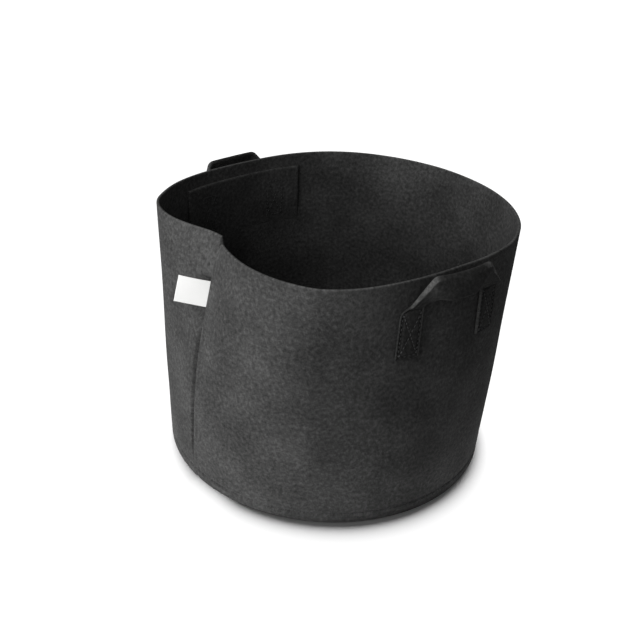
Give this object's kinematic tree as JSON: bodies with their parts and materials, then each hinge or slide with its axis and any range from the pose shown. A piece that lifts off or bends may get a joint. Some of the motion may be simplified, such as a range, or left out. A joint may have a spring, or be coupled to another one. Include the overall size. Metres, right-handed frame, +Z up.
{
  "type": "fabric grow bag",
  "caption": "Open-topped round felt planting bag with a lapped side seam, a sewn-in base, strap handle loops that swing and a blank seam label.",
  "frame": {"origin": "centre of the base's underside, on the floor", "axes": "+Z up through the open rim, +X towards the right-hand handle, -Y towards the side seam"},
  "size_m": [0.4479, 0.4225, 0.3065],
  "materials": {
    "wall_felt": "matt charcoal non-woven felt",
    "strap_felt": "matt black felt strap",
    "thread": "black sewing thread",
    "label_tape": "white woven label tape, blank"
  },
  "bodies": {
    "bag": {"wall_sheet": "wall_felt", "base_disc": "wall_felt", "right_handle_patch": "strap_felt", "left_handle_patch": "strap_felt", "right_handle_front_tab": "strap_felt", "right_handle_rear_tab": "strap_felt", "left_handle_front_tab": "strap_felt", "left_handle_rear_tab": "strap_felt", "side_seam_thread": "thread", "side_seam_bobbin_thread": "thread", "base_seam_thread": "thread", "base_seam_bobbin_thread": "thread", "right_handle_front_tab_thread": "thread", "right_handle_front_tab_bobbin_thread": "thread", "right_handle_rear_tab_thread": "thread", "right_handle_rear_tab_bobbin_thread": "thread", "left_handle_front_tab_thread": "thread", "left_handle_front_tab_bobbin_thread": "thread", "left_handle_rear_tab_thread": "thread", "left_handle_rear_tab_bobbin_thread": "thread"},
    "right_handle": {"right_handle_loop": "strap_felt"},
    "left_handle": {"left_handle_loop": "strap_felt"},
    "label": {"seam_label": "label_tape"}
  },
  "joints": [
    {"name": "right_handle_swing", "type": "hinge", "parent": "bag", "child": "right_handle", "pos_m": [0.195, -0.00988, 0.27], "axis": [0.0506, 0.9987, 0], "range_deg": [-15, 110]},
    {"name": "left_handle_swing", "type": "hinge", "parent": "bag", "child": "left_handle", "pos_m": [-0.1952, -0.00443, 0.27], "axis": [0.0227, -0.9997, 0], "range_deg": [-15, 110]},
    {"name": "label_flap", "type": "hinge", "parent": "bag", "child": "label", "pos_m": [-0.00199, -0.17674, 0.23765], "axis": [0.0227, 0.2314, 0.9726], "range_deg": [-44, 35]}
  ]
}
